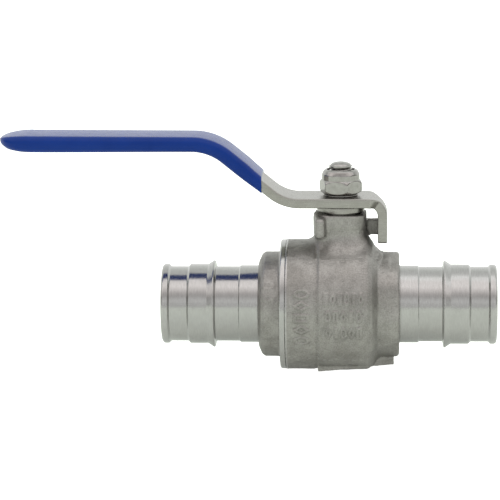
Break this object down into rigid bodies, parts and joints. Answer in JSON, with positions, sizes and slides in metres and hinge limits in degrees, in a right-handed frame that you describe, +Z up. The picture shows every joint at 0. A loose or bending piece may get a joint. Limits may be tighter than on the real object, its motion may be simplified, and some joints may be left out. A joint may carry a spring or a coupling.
{
  "type": "water shutoff valve",
  "caption": "Quarter-turn ball valve: cast steel body, barbed nipple at each end, bent lever with a dipped blue grip over the inlet.",
  "frame": {"origin": "centre of the ball, where the pipe axis meets the stem axis", "axes": "+X along the pipe towards the outlet nipple, +Z up the stem, the grip lies towards -X when the valve is open"},
  "size_m": [0.169, 0.0456, 0.0813],
  "materials": {
    "cast_steel": "matte sand-blasted investment casting, fine grain",
    "turned_steel": "bright turned stainless steel with fine tool marks",
    "strip_steel": "satin stamped stainless strip",
    "fastener_steel": "polished stainless steel",
    "blue_vinyl": "glossy dip-coated vinyl",
    "ptfe": "white PTFE, waxy",
    "nylon": "off-white nylon",
    "seal_rubber": "black rubber"
  },
  "bodies": {
    "valve": {"body": "cast_steel", "end_cap": "cast_steel", "body_gasket": "ptfe", "inlet_barb": "turned_steel", "outlet_barb": "turned_steel", "inlet_seat": "ptfe", "outlet_seat": "ptfe", "thrust_washer": "ptfe", "packing_ring_lower": "ptfe", "packing_ring_middle": "ptfe", "packing_ring_upper": "ptfe"},
    "handle": {"stem": "fastener_steel", "stem_o_ring": "seal_rubber", "gland_ring": "turned_steel", "lever": "strip_steel", "grip_sleeve": "blue_vinyl", "spring_washer": "fastener_steel", "lock_nut": "fastener_steel", "nut_insert": "nylon"},
    "ball": {"ball": "turned_steel"}
  },
  "joints": [
    {"name": "handle_turn", "type": "hinge", "parent": "valve", "child": "handle", "pos_m": [0, 0, 0], "axis": [0, 0, 1], "range_deg": [-90, 0]},
    {"name": "ball_turn", "type": "hinge", "parent": "valve", "child": "ball", "pos_m": [0, 0, 0], "axis": [0, 0, 1], "range_deg": [-90, 0]}
  ],
  "couplings": [
    {"joint": "ball_turn", "follows": "handle_turn", "ratio": 1}
  ]
}
